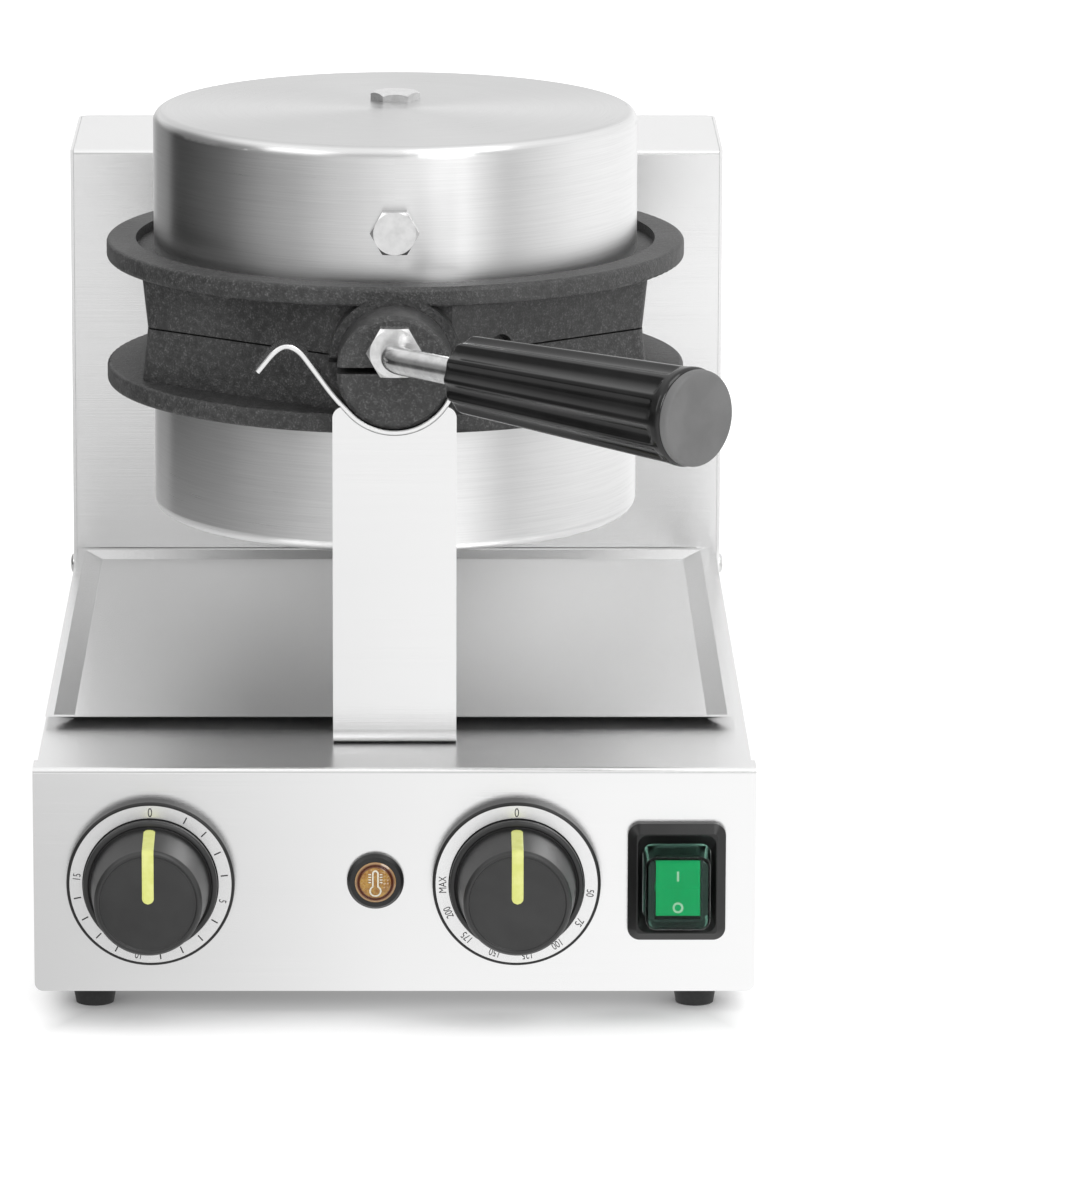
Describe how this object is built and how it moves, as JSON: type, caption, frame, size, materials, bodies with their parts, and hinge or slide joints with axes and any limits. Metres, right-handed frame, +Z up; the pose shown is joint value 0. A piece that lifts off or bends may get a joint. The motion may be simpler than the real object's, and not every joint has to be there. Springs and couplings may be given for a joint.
{
  "type": "waffle cone maker",
  "caption": "Countertop waffle cone maker: two round heated plates in a head that turns over between a front saddle and a rear bearing, on a folded steel base with timer, thermostat and switch.",
  "frame": {"origin": "on the floor under the middle of the overall box, between the handle's tip and the cable gland", "axes": "+X to the user's right, +Y to the rear, +Z up; the controls face -Y"},
  "size_m": [0.254, 0.537, 0.2952],
  "materials": {
    "stainless": "fine brushed stainless sheet",
    "can_steel": "drawn and brushed stainless",
    "fastener_steel": "bright plated steel",
    "casting": "sand cast with dark non-stick coating",
    "heater_steel": "heat-tinted tube",
    "bronze": "sintered bearing bronze",
    "rubber": "black rubber",
    "black_plastic": "satin black moulding",
    "grip_plastic": "glossy black thermoset",
    "cap_plastic": "matt grey moulding",
    "dial_metal": "satin anodised ring",
    "pointer_lime": "lime yellow inlay",
    "amber_lens": "amber lens",
    "green_rocker": "lit green rocker",
    "clear_boot": "clear silicone hood",
    "pale_plastic": "moulded insulator"
  },
  "bodies": {
    "base": {"base_shell": "stainless", "bottom_plate": "stainless", "rubber_feet": "rubber", "foot_screws": "fastener_steel", "rear_housing": "stainless", "rear_cover": "stainless", "cover_screws": "fastener_steel", "cable_gland": "black_plastic", "gland_nut": "black_plastic", "terminal_block": "pale_plastic", "front_stand": "stainless", "saddle_liner": "stainless", "stand_screws": "fastener_steel", "trunnion_bush": "bronze", "bearing_plate": "stainless", "lamp_bezel": "black_plastic", "lamp_lens": "amber_lens", "lamp_body": "pale_plastic", "switch_frame": "black_plastic", "switch_boot": "clear_boot", "switch_body": "black_plastic", "timer_bezel": "black_plastic", "timer_dial": "dial_metal", "timer_body": "pale_plastic", "thermostat_bezel": "black_plastic", "thermostat_dial": "dial_metal", "thermostat_body": "pale_plastic"},
    "head": {"lower_plate": "casting", "lower_can": "can_steel", "lower_side_bolt": "fastener_steel", "lower_can_bolt": "fastener_steel", "lower_heater": "heater_steel", "hinge_pin": "fastener_steel", "hinge_clip": "fastener_steel", "trunnion_shaft": "fastener_steel", "shaft_nut": "fastener_steel"},
    "lid": {"upper_plate": "casting", "upper_can": "can_steel", "upper_side_bolt": "fastener_steel", "upper_can_bolt": "fastener_steel", "upper_heater": "heater_steel", "handle_rod": "fastener_steel", "handle_nut": "fastener_steel", "handle_grip": "grip_plastic", "handle_cap": "cap_plastic"},
    "timer": {"timer_knob": "black_plastic", "timer_pointer": "pointer_lime", "timer_spindle": "fastener_steel"},
    "thermostat": {"thermostat_knob": "black_plastic", "thermostat_pointer": "pointer_lime", "thermostat_spindle": "fastener_steel"},
    "rocker": {"switch_rocker": "green_rocker"},
    "tray": {"crumb_tray": "stainless"}
  },
  "joints": [
    {"name": "head_turn", "type": "hinge", "parent": "base", "child": "head", "pos_m": [0, -0.01034, 0.2199], "axis": [0, -1, 0], "range_deg": [-180, 0]},
    {"name": "lid_open", "type": "hinge", "parent": "head", "child": "lid", "pos_m": [0, 0.11966, 0.2199], "axis": [-1, 0, 0], "range_deg": [0, 95]},
    {"name": "timer_turn", "type": "hinge", "parent": "base", "child": "timer", "pos_m": [-0.0843, -0.16903, 0.0478], "axis": [0, 1, 0], "range_deg": [0, 276]},
    {"name": "thermostat_turn", "type": "hinge", "parent": "base", "child": "thermostat", "pos_m": [0.0422, -0.16903, 0.0478], "axis": [0, 1, 0], "range_deg": [0, 270]},
    {"name": "switch_rock", "type": "hinge", "parent": "base", "child": "rocker", "pos_m": [0.0976, -0.17803, 0.0478], "axis": [1, 0, 0], "range_deg": [0, 18]},
    {"name": "tray_slide", "type": "slide", "parent": "base", "child": "tray", "axis": [1, 0, 0], "range_m": [0, 0.255]}
  ]
}
